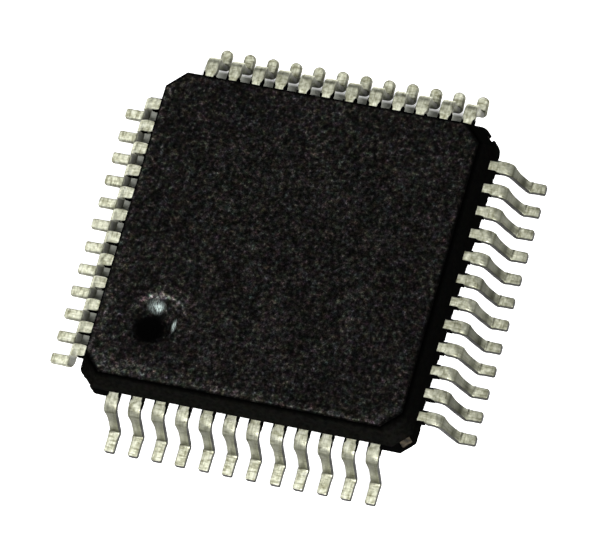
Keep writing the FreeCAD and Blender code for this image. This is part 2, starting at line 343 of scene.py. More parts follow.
@dataclass(frozen=True)
class MatteTin:
    """Matt tin, electroplated on a stamped copper-alloy lead frame and then bent with it.

    Matt tin is a pale, slightly yellow grey metal with a soft, broad shine and a mottled surface. The forming tool
    wiped the leg, leaving fainter patches there, and coined the foot flat, with fine marks across it. Shade is painted
    into the plating by stage and by side, mostly on the leg and the heel. The stamped flanks are darker: partly their
    own sheared finish and partly painted shade, stronger on the front and right sides. The crystals are a few
    micrometres wide and grow in patches; the patches are drawn at 0.085 mm, so that the render shows them.
    """

    fresh: str = "#f5f6de"
    # The dark end of the painted stage shade.
    shade_tone: str = "#292a1c"
    wear_and_highlight: str = "#aaa893"
    bright: str = "#fbfaf2"
    # The flanks' own dark sheared finish, deepened by painted shade.
    flank: str = "#171611"
    patch_mm: float = 0.085
    dulled: Ramp = (0.46, 0.7, 0.0, 0.75)
    shining: Ramp = (0.47, 0.34, 0.0, 0.6)
    unwiped: Ramp = (0.0, 1.0, 1.0, 0.25)
    mark_mm: float = 0.045
    mark_scale: tuple[float, float, float] = (0.2, 1.0, 1.0)
    marked: Ramp = (0.58, 0.72, 0.0, 0.7)
    coined_share: float = 0.06
    streak_mm: float = 0.035
    streak_scale: tuple[float, float, float] = (1.0, 0.07, 1.0)
    streaked: Ramp = (0.45, 0.7, 0.0, 0.5)
    crystal_mm: float = 0.03
    rough: Ramp = (0.3, 0.7, 0.34, 0.56)
    metal: Ramp = (0.0, 1.0, 1.0, 0.1)
    gloss: float = 0.15
    bump_mm: float = 0.005
    bump_strength: float = 0.8

    def mottled(self, nodes: Nodes, strip: Socket, zones: Socket) -> Socket:
        """Adds the plating's patches, the marks across the strip and the streaks along it.

        The patches are fainter on the leg, which the tool wiped smooth, and the marks are stronger on the foot,
        which it pressed flat.

        Args:
            nodes: The material's nodes.
            strip: The place on the strip: across, along and the lead's own depth of noise.
            zones: The tone of each stage of the lead, with the shade painted on it.

        Returns:
            The mottled tone.
        """
        patches = nodes.noise(strip, self.patch_mm, 3.0)
        left = nodes.remap(nodes.attribute("wiped"), self.unwiped)
        dulled = nodes.operate("MULTIPLY", nodes.remap(patches, self.dulled), left)
        shining = nodes.operate("MULTIPLY", nodes.remap(patches, self.shining), left)
        tone = nodes.mix(dulled, zones, self.wear_and_highlight, "MULTIPLY")
        tone = nodes.mix(shining, tone, self.bright, "SOFT_LIGHT")
        marks = nodes.noise(nodes.stretched(strip, self.mark_scale), self.mark_mm, 2.0)
        marks = nodes.operate("MULTIPLY_ADD", nodes.attribute("coined"), self.coined_share, marks)
        tone = nodes.mix(nodes.remap(marks, self.marked), tone, self.wear_and_highlight, "MULTIPLY")
        streaks = nodes.noise(nodes.stretched(strip, self.streak_scale), self.streak_mm, 2.0)
        return nodes.mix(nodes.remap(streaks, self.streaked), tone, self.wear_and_highlight, "MULTIPLY")

    def material(self) -> bpy.types.Material:
        """Builds the finish.

        Returns:
            The material, which reads the piece's coined, wiped, stage shade, flank and strip attributes; the stage
            shade and part of the flanks' darkness are painted shade.
        """
        material, nodes = new_material("matte_tin_plate")
        strip = nodes.attribute("strip", "Vector")
        flank = nodes.attribute("flank")
        # Painted shade by stage: the plating darkens towards the shade tone where the stage shade is high.
        zones = nodes.mix(nodes.attribute("stage_shade"), self.fresh, self.shade_tone)
        tone = nodes.mix(flank, self.mottled(nodes, strip, zones), self.flank)
        crystals = nodes.noise(strip, self.crystal_mm, 2.0)
        normal = nodes.bump(crystals, self.bump_mm, self.bump_strength)
        nodes.finish(tone, nodes.remap(flank, self.metal), nodes.remap(crystals, self.rough), self.gloss, normal)
        return material


@dataclass(frozen=True)
class GrainedFinish:
    """A finish of two tones of one surface, mixed by a fine grain that also roughens it."""

    name: str
    dark: str
    light: str
    metallic: float
    roughness: float
    grain_mm: float
    spread: tuple[float, float] = (0.35, 0.65)
    gloss: float = 0.5
    bump_mm: float = 0.003
    bump_strength: float = 0.3

    def material(self) -> bpy.types.Material:
        """Builds the finish.

        Returns:
            The material.
        """
        material, nodes = new_material(self.name)
        grain = nodes.noise(nodes.place(), self.grain_mm, 3.0)
        tone = nodes.tones(grain, list(zip(self.spread, (self.dark, self.light))))
        normal = nodes.bump(grain, self.bump_mm, self.bump_strength)
        nodes.finish(tone, self.metallic, self.roughness, self.gloss, normal)
        return material


@dataclass(frozen=True)
class CutCopperAlloy(GrainedFinish):
    """Copper alloy where the trim tool cut through the plating at a toe's end.

    The cut is a smooth sheared band and a rougher torn band, dulled by a thin brown oxide. Its near-black tones
    are partly that oxide and partly painted shade.
    """

    name: str = "cut_copper_alloy"
    # Near-black: partly the oxide, partly painted shade.
    dark: str = "#070605"
    light: str = "#2e241b"
    metallic: float = 0.4
    roughness: float = 0.45
    grain_mm: float = 0.02
    spread: tuple[float, float] = (0.45, 0.75)
    gloss: float = 0.1
    bump_mm: float = 0.005
    bump_strength: float = 0.5


def grid_faces(rows: int, columns: int) -> np.ndarray:
    """Numbers the quads of a grid whose columns close round.

    Row i and column j give the corners (i, j), (i, j+1), (i+1, j+1) and (i+1, j), counted modulo the columns.

    Args:
        rows: How many rings the grid has.
        columns: How many points each ring has.

    Returns:
        An array of quads, four vertex numbers each.
    """
    row, column = np.meshgrid(np.arange(rows - 1), np.arange(columns), indexing="ij")
    after = (column + 1) % columns
    corners = [row * columns + column, row * columns + after, (row + 1) * columns + after, (row + 1) * columns + column]
    return np.stack(corners, -1).reshape(-1, 4)


def tube_faces(rows: int, columns: int) -> list[list[int]]:
    """Numbers the faces of a closed tube: its quads, and then the face over its first ring and over its last.

    Args:
        rows: How many rings the tube has.
        columns: How many points each ring has.

    Returns:
        The vertex numbers of each face.
    """
    last = (rows - 1) * columns
    return grid_faces(rows, columns).tolist() + [list(range(columns))[::-1], list(range(last, last + columns))]


def turned_out(points: np.ndarray, faces: list[list[int]]) -> list[list[int]]:
    """Turns the faces of a closed part to look outward.

    Its signed volume adds a . (b x c) / 6 over the triangles that the faces fan into, and is below zero where the
    faces look inward.

    Args:
        points: The part's points.
        faces: The vertex numbers of each face.

    Returns:
        The faces, each in reverse order if they looked inward.
    """
    fans = np.array([(face[0], b, c) for face in faces for b, c in zip(face[1:-1], face[2:])])
    volume = float((points[fans[:, 0]] * np.cross(points[fans[:, 1]], points[fans[:, 2]])).sum()) / 6
    return faces if volume > 0 else [face[::-1] for face in faces]


def turned_to(points: np.ndarray, side: Side) -> np.ndarray:
    """Turns points (u, s, z) of a side to the frame's axes.

    On the front side x is u and y is minus s; each next side is a quarter turn further round the Z axis.

    Args:
        points: An array whose last axis holds u, s and z.
        side: The side that they lie on.

    Returns:
        The same points as x, y and z.
    """
    turn = side.value * math.pi / 2
    u, s, z = points[..., 0], points[..., 1], points[..., 2]
    x = u * round(math.cos(turn)) + s * round(math.sin(turn))
    y = u * round(math.sin(turn)) - s * round(math.cos(turn))
    return np.stack([x, y, z], -1)


def make_piece(
    name: str,
    points: np.ndarray,
    faces: Sequence[Sequence[int]],
    materials: Sequence[bpy.types.Material],
    kinds: Optional[Sequence[int]] = None,
    marks: Optional[dict[str, np.ndarray]] = None,
    sharp_angle: float = 38.0,
) -> bpy.types.Object:
    """Makes a mesh piece whose object sits at the origin.

    Args:
        name: The piece's name.
        points: Its vertices in millimetres.
        faces: Its faces, as vertex numbers.
        materials: Its materials.
        kinds: Which material each face has.
        marks: Values for each vertex, by attribute name.
        sharp_angle: Edges that bend by more degrees than this stay sharp.

    Returns:
        The piece.
    """
    mesh = bpy.data.meshes.new(name)
    mesh.from_pydata((points * MM).tolist(), [], [list(map(int, face)) for face in faces])
    for material in materials:
        mesh.materials.append(material)
    if kinds is not None:
        mesh.polygons.foreach_set("material_index", np.asarray(kinds, np.int32))
    for mark, values in (marks or {}).items():
        flat = values.ndim == 1
        layer = mesh.attributes.new(mark, "FLOAT" if flat else "FLOAT_VECTOR", "POINT")
        layer.data.foreach_set("value" if flat else "vector", values.astype(np.float32).ravel())
    mesh.shade_smooth()
    mesh.set_sharp_from_angle(angle=math.radians(sharp_angle))
    mesh.update()
    piece = bpy.data.objects.new(name, mesh)
    bpy.context.scene.collection.objects.link(piece)
    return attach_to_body(piece, "root") or piece


@dataclass(frozen=True)
class Forming:
    """How the leads of one side were bent and trimmed, in millimetres and degrees.

    A formed leg springs back into a slight curve, steeper at its top than at its foot. Stage shade is the shade
    painted on the plating at the neck, stub, shoulder, upper leg, middle leg, lower leg, heel, ankle, foot and toe.
    """

    top_lean: float
    low_lean: float
    foot_flat: float
    stage_shade: tuple[float, ...]
    trim: float = 0.0
    neck_wide: float = 0.212
    foot_wide: float = 0.215
    toe_round: float = 0.03
    edge_round: float = 0.018
    drift: float = 0.0
    flash_out: float = 0.17
    # How strongly shade is painted over the flanks' own dark finish on this side.
    flank_shade: float = 1.0


def side_formings() -> dict[Side, Forming]:
    """Gives how each side was formed, as the photo shows it.

    Returns:
        The forming of each side: the leg's top and low lean, the foot's flat, the painted stage shade and what is its
            own.
    """
    # Shade painted on the plating at each stage, set apart for each side.
    front = (0.0, 0.2, 0.25, 0.86, 0.79, 0.62, 0.85, 0.05, 0.0, 0.0)
    right = (0.2, 0.5, 0.3, 0.92, 0.85, 0.95, 0.36, 0.62, 0.36, 0.64)
    back = (0.05, 0.5, 0.45, 0.0, 0.32, 0.87, 0.9, 0.7, 0.53, 0.05)
    left = (0.0, 0.25, 0.05, 0.62, 0.82, 0.72, 0.86, 0.1, 0.0, 0.15)
    worn_back = {"neck_wide": 0.184, "foot_wide": 0.25, "toe_round": 0.095, "edge_round": 0.045}
    return {
        # Flank shade is painted fully on the front and right sides, and less on the back and left.
        Side.FRONT: Forming(84.0, 68.0, 0.405, front, trim=0.016, drift=-0.006),
        Side.RIGHT: Forming(78.0, 62.0, 0.28, right, neck_wide=0.205, toe_round=0.04),
        Side.BACK: Forming(85.0, 72.0, 0.29, back, drift=0.02, flash_out=0.13, flank_shade=0.6, **worn_back),
        Side.LEFT: Forming(83.0, 65.0, 0.345, left, neck_wide=0.218, edge_round=0.025, flank_shade=0.6),
    }


@dataclass
class GullWingLeads:
    """The 48 leads, each a strip carried along its formed path: finger, neck, shoulder, leg, heel and foot.

    Stages count along a lead: 0 finger tip, 1 mould edge, 2 shoulder, 3 leg, 4 heel, 5 foot, 6 toe. The spreads
    are the small differences from lead to lead. Two leads of each side keep that side's full length. Each lead
    reads the plating's noise at a depth of its own, so many millimetres apart.
    """

    plate: bpy.types.Material
    cut: bpy.types.Material
    count: int = 12
    pitch: float = 0.5
    thick: float = 0.127
    stub_wide: float = 0.266
    stub_draw: float = 0.006
    leg_wide: float = 0.192
    heel_spread: float = 0.02
    tip_reach: float = 4.5
    lead_top: float = 0.917
    shoulder_inside: float = 0.085
    heel_inside: float = 0.06
    finger_tip: float = 2.28
    finger_tip_pitch: float = 0.31
    finger_tip_wide: float = 0.155
    fan_end: float = 3.25
    mould_edge: float = 3.5
    finger_round: float = 0.02
    full_length: tuple[int, int] = (3, 8)
    trim_spread: float = 0.012
    wide_spread: float = 0.002
    drift_spread: float = 0.004
    # How much the painted shade differs from lead to lead.
    shade_spread: float = 0.03
    noise_apart: float = 7.0
    path_stages: tuple[float, ...] = (0.0, 0.8, 1.0, 2.0, 3.0, 4.0, 5.0, 6.0)
    path_steps: tuple[int, ...] = (5, 3, 6, 13, 11, 11, 14)
    fine_steps: int = 4000
    width_stages: tuple[float, ...] = (0.0, 0.8, 1.25, 1.6, 2.7, 3.45, 3.8, 4.75, 5.25, 6.0)
    # Where the stages of the painted shade lie along the lead.
    shade_stages: tuple[float, ...] = (1.1, 1.7, 2.45, 2.75, 3.35, 3.7, 4.15, 4.6, 5.1, 6.0)
    coined_stages: tuple[float, float] = (4.2, 4.5)
    wiped_stages: tuple[float, float, float, float] = (2.3, 2.8, 3.9, 4.3)
    formings: dict[Side, Forming] = field(default_factory=side_formings)

    def places(self) -> np.ndarray:
        """Returns where the leads of a side lie along it."""
        return (np.arange(self.count) - (self.count - 1) / 2) * self.pitch

    def path(self, forming: Forming, trim: float) -> dict[str, np.ndarray]:
        """Works out the middle line of a formed lead.

        The line is the running sum of its direction (cos t, -sin t). The turn t grows evenly to the leg's top lean
        round the shoulder, eases to the low lean down the leg, and falls back to 0 round the heel. The leg is as
        long as the drop asks: (drop - R (1 - cos top) - r (1 - cos low)) / mean sine, where the mean sine is
        (cos low - cos top) / (top - low). Along counts the stages.

        Args:
            forming: How the side was formed.
            trim: How much shorter than its fellows this lead was cut.

        Returns:
            Arrays s, z, turn, along and travel, one value a station.
        """
        top, low = math.radians(forming.top_lean), math.radians(forming.low_lean)
        bend = self.shoulder_inside + self.thick / 2
        unbend = self.heel_inside + self.thick / 2
        drop = self.lead_top - self.thick
        left = drop - bend * (1 - math.cos(top)) - unbend * (1 - math.cos(low))
        leg = left * (top - low) / (math.cos(low) - math.cos(top))
        run = bend * math.sin(top) + leg * (math.sin(top) - math.sin(low)) / (top - low) + unbend * math.sin(low)
        start = self.tip_reach - forming.foot_flat - run
        lengths = [self.fan_end - self.finger_tip, self.mould_edge - self.fan_end, start - self.mould_edge]
        lengths += [bend * top, leg, unbend * low, forming.foot_flat - trim]
        ends = np.concatenate([[0.0], np.cumsum(lengths)])
        shares = [np.linspace(0, 1, count, endpoint=False) for count in self.path_steps[:-1]]
        shares.append(np.sin(np.linspace(0, math.pi / 2, self.path_steps[-1])))
        travel = np.concatenate([ends[i] + share * lengths[i] for i, share in enumerate(shares)])
        fine = np.linspace(0, ends[-1], self.fine_steps)
        turn = np.interp(fine, ends[3:7], [0.0, top, low, 0.0])
        step = fine[1] - fine[0]
        s = self.finger_tip + np.concatenate([[0.0], np.cumsum(np.cos((turn[1:] + turn[:-1]) / 2)) * step])
        z = np.concatenate([[0.0], -np.cumsum(np.sin((turn[1:] + turn[:-1]) / 2)) * step])
        z = z - z[-1] + self.thick / 2
        path = {name: np.interp(travel, fine, values) for name, values in (("s", s), ("z", z), ("turn", turn))}
        return {**path, "along": np.interp(travel, ends, self.path_stages), "travel": travel}

    def widths(self, path: dict[str, np.ndarray], forming: Forming, trim: float) -> np.ndarray:
        """Works out the strip's width at each station.

        Between two stages the width goes from a to b as a + (b - a) * (1 - cos(pi * share)) / 2. The toe's corners
        are rounded: within the round's radius r of the cut, each side draws in by r - sqrt(r * r - (r - left) ** 2).

        Args:
            path: The lead's middle line.
            forming: How the side was formed.
            trim: How much shorter than its fellows this lead was cut.

        Returns:
            One width a station.
        """
        neck, foot = forming.neck_wide, forming.foot_wide
        wides = [self.finger_tip_wide, neck, neck, self.stub_wide, self.stub_wide - self.stub_draw]
        wides = np.array(wides + [self.leg_wide, self.leg_wide, foot + self.heel_spread, foot, foot])
        place = np.interp(path["along"], self.width_stages, np.arange(len(wides)))
        before = np.minimum(place.astype(int), len(wides) - 2)
        ease = (1 - np.cos(math.pi * (place - before))) / 2
        wide = wides[before] + (wides[before + 1] - wides[before]) * ease
        left = np.clip(self.tip_reach - trim - path["s"], 0, forming.toe_round)
        near = forming.toe_round - left
        draw = forming.toe_round - np.sqrt(np.maximum(forming.toe_round**2 - near**2, 0))
        return wide - 2 * np.where(path["along"] > 5, draw, 0)

    def section(self, wide: np.ndarray, edge: np.ndarray) -> tuple[np.ndarray, np.ndarray, np.ndarray]:
        """Works out the rounded rectangle round the strip at each station.

        Each corner is a quarter circle about the point that lies the round's radius inside both faces.

        Args:
            wide: The strip's width at each station.
            edge: The corners' round at each station.

        Returns:
            Across and up offsets, stations by points, and how far each point belongs to a side face.
        """
        quarter = np.linspace(0, math.pi / 2, 4)
        angles = np.concatenate([quarter + math.pi / 2 * k for k in range(4)])
        hand = np.array([1, -1, -1, 1]).repeat(4)
        up = np.array([1, 1, -1, -1]).repeat(4)
        across = hand * (wide - 2 * edge)[:, None] / 2 + edge[:, None] * np.cos(angles)
        rise = up * (self.thick / 2 - edge)[:, None] + edge[:, None] * np.sin(angles)
        return across, rise, np.broadcast_to(np.abs(np.cos(angles)) ** 2, across.shape)

    def make_lead(self, side: Side, place: int, chance: np.random.Generator) -> bpy.types.Object:
        """Makes one lead.

        A point is the middle line plus across times the side's own direction plus rise times the normal
        (sin turn, cos turn) in s and z.

        Args:
            side: The lead's side.
            place: The lead's number on that side, from 0.
            chance: The source of its small differences.

        Returns:
            The lead.
        """
        forming = self.formings[side]
        trim = forming.trim + (0.0 if place in self.full_length else float(chance.uniform(0, self.trim_spread)))
        path = self.path(forming, trim)
        along = path["along"]
        wide = self.widths(path, forming, trim) + chance.normal(0, self.wide_spread)
        edge = np.interp(along, (2.0, 4.0), (self.finger_round, forming.edge_round))
        across, rise, flank = self.section(wide, edge)
        u = self.places()[place]
        fan = np.clip((self.fan_end - path["s"]) / (self.fan_end - self.finger_tip), 0, 1)
        middle = u + (u / self.pitch * self.finger_tip_pitch - u) * fan
        middle = middle + (forming.drift + chance.normal(0, self.drift_spread)) * np.clip(along - 2, 0, 4) / 4
        s, z, turn, travel = (path[name][:, None] for name in ("s", "z", "turn", "travel"))
        points = np.stack([middle[:, None] + across, s + rise * np.sin(turn), z + rise * np.cos(turn)], -1)
        rows, columns = across.shape
        faces = tube_faces(rows, columns)
        kinds = [Face.PLATED.value] * (len(faces) - 1) + [Face.SHEARED.value]
        number = side.value * self.count + place + 1
        strip = [across, np.broadcast_to(travel, across.shape), np.full(across.shape, number * self.noise_apart)]
        # Painted shade on the plating by stage, a little more or less on each lead.
        stage_shade = np.interp(along, self.shade_stages, forming.stage_shade)
        marks = {
            "coined": np.interp(along, self.coined_stages, (0, 1)).repeat(columns),
            "wiped": np.interp(along, self.wiped_stages, (0, 1, 1, 0)).repeat(columns),
            "stage_shade": stage_shade.repeat(columns) + float(chance.normal(0, self.shade_spread)),
            # The flanks' dark tone: partly their sheared finish, partly painted shade scaled by side.
            "flank": flank.ravel() * forming.flank_shade,
            "strip": np.stack(strip, -1).reshape(-1, 3) * MM,
        }
        name = f"lead_{number:02d}"
        points = turned_to(points, side).reshape(-1, 3)
        piece = make_piece(name + "_formed", points, faces, [self.plate, self.cut], kinds, marks)
        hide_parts(name)
        return piece

    def build(self) -> list[bpy.types.Object]:
        """Makes every lead.

        Returns:
            The leads, by number.
        """
        chance = np.random.default_rng(SEED)
        return [self.make_lead(side, place, chance) for side in Side for place in range(self.count)]


@dataclass
class MouldedBody:
    """The moulded body: one shell from the bottom's middle, over both drafted halves, to the dimple's middle.

    A span gives the first share, the last share and the count of a run of rings. Each painted glint, a painted
    highlight in the dimple, is x and y from the dimple's middle, its width, its length and its strength.
    """

    compound: Sequence[bpy.types.Material]
    half: float = 3.5
    shift: float = -0.065
    standoff: float = 0.10
    lead_top: float = 0.917
    top: float = 1.5
    upper_draft: float = 17.0
    lower_draft: float = 18.0
    lower_step: float = 0.06
    corner_cut: float = 0.34
    top_corner_cut: float = 0.37
    top_corner_loss: float = 0.004
    edge_round: float = 0.03
    bottom_ring: float = 0.05
    bottom_round: float = 0.012
    bottom_lean: float = 0.003
    ledge_ring: float = 0.006
    lower_span: tuple[float, float, int] = (0.1, 1.0, 6)
    upper_span: tuple[float, float, int] = (0.012, 1.0, 8)
    dimple_wide: float = 0.92
    dimple_deep: float = 0.10
    dimple_inset: float = 1.43
    dimple_rim: float = 0.006
    # Painted highlight inside the top's front and left edges, and painted light on the front wall.
    highlight_half: float = 3.25
    wall_light_half: float = 3.3
    light_power: int = 8
    left_highlight: float = 0.6
    highlight_start: float = 0.07
    highlight_fade: float = 0.4
    # A painted highlight: brighter grain in a band on the dimple's upper side.
    speck_turn: float = 1.75
    speck_level: float = 2.1
    speck_radius: float = 0.575
    speck_wide: float = 0.07
    # The dark core in the dimple: its polished mark, with painted shade set off towards the front left.
    shade_offset: tuple[float, float] = (-0.12, -0.15)
    polish_and_shade_radius: float = 0.22
    polish_and_shade_fade: float = 0.3
    # Painted shade under the top edge of the walls and over the rounded edge.
    wall_shade_deep: float = 0.13
    wall_shade_fade: float = 0.05
    edge_shade: float = 0.9
    wall_from: float = 0.5
    # Painted highlights in the dimple.
    painted_glints: tuple[tuple[float, float, float, float, float], ...] = (
        (-0.10, 0.34, 0.17, 0.14, 0.5),
        (-0.035, 0.31, 0.065, 0.06, 0.9),
        (0.366, 0.0, 0.038, 0.11, 1.2),
    )
    long_steps: int = 64
    short_steps: int = 8
    bottom_shares: tuple[float, ...] = (0.02, 0.35, 0.7)
    top_shares: tuple[float, ...] = (0.01, 0.025, 0.05, 0.09, 0.14, 0.2, 0.35, 0.5, 0.65, 0.8, 0.9, 0.95)
    apron: float = 1.4
    bowl_spans: tuple[tuple[float, float, int], ...] = ((1.4, 0.9, 18), (0.86, 0.03, 22))

    def outline(self, half: float, cut: float) -> np.ndarray:
        """Works out the plan outline of a square with cut corners, as points evenly spaced on each edge.

        Args:
            half: Half the square's side.
            cut: How much each corner loses along each side.

        Returns:
            The points (x, y), counter-clockwise from above.
        """
        flat = half - cut
        corners = []
        for quarter in range(4):
            turn = quarter * math.pi / 2
            for u in (-flat, flat):
                corners.append((u * math.cos(turn) + half * math.sin(turn), u * math.sin(turn) - half * math.cos(turn)))
        ring = np.array(corners)
        runs = []
        for i, (corner, after) in enumerate(zip(ring, np.roll(ring, -1, 0))):
            steps = self.long_steps if i % 2 == 0 else self.short_steps
            share = np.arange(steps)[:, None] / steps
            runs.append(corner * (1 - share) + after * share)
        return np.concatenate(runs) + np.array([self.shift, 0.0])

    def wall_levels(self) -> list[tuple[float, float, float, float]]:
        """Works out the levels of the sides.

        The walls lean in by their draft: half - (z - edge) * tan(draft). The top edge is an arc of its radius
        between the wall and the top, about the point that lies the radius inside both.

        Returns:
            Half size, corner cut, height and whether the level belongs to a wall, from the bottom up.
        """
        seam = self.half - self.lower_step
        rise = self.lead_top - self.standoff
        low = seam - rise * math.tan(math.radians(self.lower_draft))
        lower = [(low - self.bottom_ring, 0.0), (low - self.bottom_round, 0.0)]
        lower.append((low + self.bottom_lean, self.bottom_round))
        lower += [(low + (seam - low) * share, rise * share) for share in np.linspace(*self.lower_span)]
        lower.append((self.half - self.ledge_ring, rise))
        levels = [(half, self.corner_cut, self.standoff + z, 1.0) for half, z in lower]
        depth = self.top - self.lead_top
        lean = math.tan(math.radians(self.upper_draft))
        tangent = self.edge_round * math.tan(math.radians(45 - self.upper_draft / 2))
        wall_top = depth - tangent * math.cos(math.radians(self.upper_draft))
        for share in np.linspace(*self.upper_span):
            z = wall_top * share
            cut = self.corner_cut + (self.top_corner_cut - self.corner_cut) * z / depth
            levels.append((self.half - z * lean, cut, self.lead_top + z, 1.0))
        centre = self.half - depth * lean - tangent
        steep = math.radians(90 - self.upper_draft)
        for turn in np.linspace(steep, 0, 6)[1:]:
            half = centre + self.edge_round * math.sin(turn)
            z = self.top - self.edge_round * (1 - math.cos(turn))
            levels.append((half, self.top_corner_cut - self.top_corner_loss, z, turn / steep))
        return levels

    def dimple_drop(self, radius: np.ndarray) -> np.ndarray:
        """Returns how far the top dips at a distance from the dimple's middle.

        The bowl is d = deep * (1 - (radius / half) ** 2), met with the flat top by -(d + sqrt(d * d + e * e)) / 2,
        where e rounds the bowl's edge.

        Args:
            radius: Distances from the dimple's middle.

        Returns:
            The drops, zero or below.
        """
        bowl = self.dimple_deep * (1 - (radius / (self.dimple_wide / 2)) ** 2)
        return -(bowl + np.sqrt(bowl * bowl + self.dimple_rim**2)) / 2

    def wear_and_highlight(self, towards: np.ndarray, half: float) -> np.ndarray:
        """Returns a painted highlight's share at places by how far they lie towards a side, full where they reach half.
        """
        return np.clip(towards / half, 0, 1) ** self.light_power

    def top_marks(self, flat: np.ndarray, edge: np.ndarray, middle: np.ndarray) -> dict[str, np.ndarray]:
        """Works out a ring of the top's painted light, its polish and painted shade, and its painted glints.

        Painted light is a painted highlight on the grain inside the front and left edges, and on a band of brighter
        grain on the dimple's upper side. Polish and shade is 1 - smooth((distance - radius) / fade) about a middle set
        off towards the dimple's front left, where smooth(t) = t * t * (3 - 2 * t): the pin's polished mark, with
        painted shade over its front left side. Glint, a painted highlight, is the sum of strength * exp(-(dx / wide) **
        2 - (dy / long) ** 2) about each painted glint.

        Args:
            flat: The ring's points (x, y).
            edge: The top's edge on the same rays.
            middle: The dimple's middle.

        Returns:
            The ring's painted light, polish and shade, and glint.
        """
        inside = np.hypot(*(edge - flat).T)
        # Painted highlight inside the top's front edge, and less inside its left edge.
        front = self.wear_and_highlight(-edge[:, 1], self.highlight_half)
        left = self.left_highlight * self.wear_and_highlight(-(edge[:, 0] - self.shift), self.highlight_half)
        fading = np.clip(1 - (inside - self.highlight_start) / self.highlight_fade, 0, 1)
        wear_and_highlight = np.clip(inside / self.highlight_start, 0, 1) * fading * np.maximum(front, left)
        away = flat - middle
        radius = np.hypot(away[:, 0], away[:, 1])
        # Painted highlight: brighter grain in a band on the dimple's upper side.
        lit_side = np.clip(np.cos(np.arctan2(away[:, 1], away[:, 0]) - self.speck_turn), 0, 1) ** 2
        dimple_rim_light = self.speck_level * lit_side * np.exp(-(((radius - self.speck_radius) / self.speck_wide) ** 2))
        # The polished mark and painted shade in the dimple, set off towards its front left.
        from_pin = np.hypot(*(away - self.shade_offset).T)
        share = np.clip((from_pin - self.polish_and_shade_radius) / self.polish_and_shade_fade, 0, 1)
        # Painted highlights in the dimple.
        glint = sum(
            strength * np.exp(-((((away - (x, y)) / (wide, long)) ** 2).sum(1)))
            for x, y, wide, long, strength in self.painted_glints
        )
        return {"painted_light": wear_and_highlight + dimple_rim_light, "polish": 1 - share * share * (3 - 2 * share), "glint": glint}

    def build(self) -> bpy.types.Object:
        """Makes the shell.

        The rings follow the bottom, the walls and the rounded edge. Over the top each ring is
        middle + (outline - middle) * share, drawn to a circle as it nears the dimple.

        Returns:
            The body.
        """
        levels = self.wall_levels()
        columns = 4 * (self.long_steps + self.short_steps)
        first = self.outline(levels[0][0], levels[0][1])
        centre = np.array([self.shift, 0.0])
        rings, zones, polish = [], [], []
        for share in self.bottom_shares:
            rings.append(np.column_stack([centre + (first - centre) * share, np.full(columns, self.standoff)]))
            zones.append(MouldZone.SPARK_ERODED)
            polish.append(np.zeros(columns))
        for half, cut, z, share in levels:
            rings.append(np.column_stack([self.outline(half, cut), np.full(columns, z)]))
            zones.append(MouldZone.WALL if share > self.wall_from else MouldZone.SPARK_ERODED)
            # Painted shade under the top edge and over the rounded edge.
            near_top = np.clip((z - self.top + self.wall_shade_deep) / self.wall_shade_fade, 0, 1)
            polish.append(np.full(columns, near_top * max(share, self.edge_shade)))
        # Painted light on the walls, lighter towards the front.
        painted_light = [self.wear_and_highlight(-ring[:, 1], self.wall_light_half) for ring in rings]
        marks = {"painted_light": painted_light, "polish": polish, "glint": [np.zeros(columns)] * len(rings)}
        edge = self.outline(levels[-1][0], levels[-1][1])
        place = self.dimple_inset - self.half
        middle = np.array([place + self.shift, place])
        away = edge - middle
        reach = np.hypot(away[:, 0], away[:, 1])
        bowl = self.dimple_wide / 2
        over = [reach + (bowl * self.apron - reach) * share for share in self.top_shares]
        bowl_shares = np.concatenate([np.linspace(*span) for span in self.bowl_spans])
        over += [np.full(columns, bowl * share) for share in bowl_shares]
        for radius in over:
            flat = middle + away / reach[:, None] * radius[:, None]
            rings.append(np.column_stack([flat, self.top + self.dimple_drop(radius)]))
            zones.append(MouldZone.SPARK_ERODED)
            for mark, values in self.top_marks(flat, edge, middle).items():
                marks[mark].append(values)
        faces = tube_faces(len(rings), columns)
        kinds = [zone.value for zone in zones[1:] for _ in range(columns)] + [MouldZone.SPARK_ERODED.value] * 2
        marks = {mark: np.concatenate(values) for mark, values in marks.items()}
        piece = make_piece("body_shell", np.concatenate(rings), faces, self.compound, kinds, marks, COMPOUND_SHARP)
        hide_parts("moulded_body")
        return piece


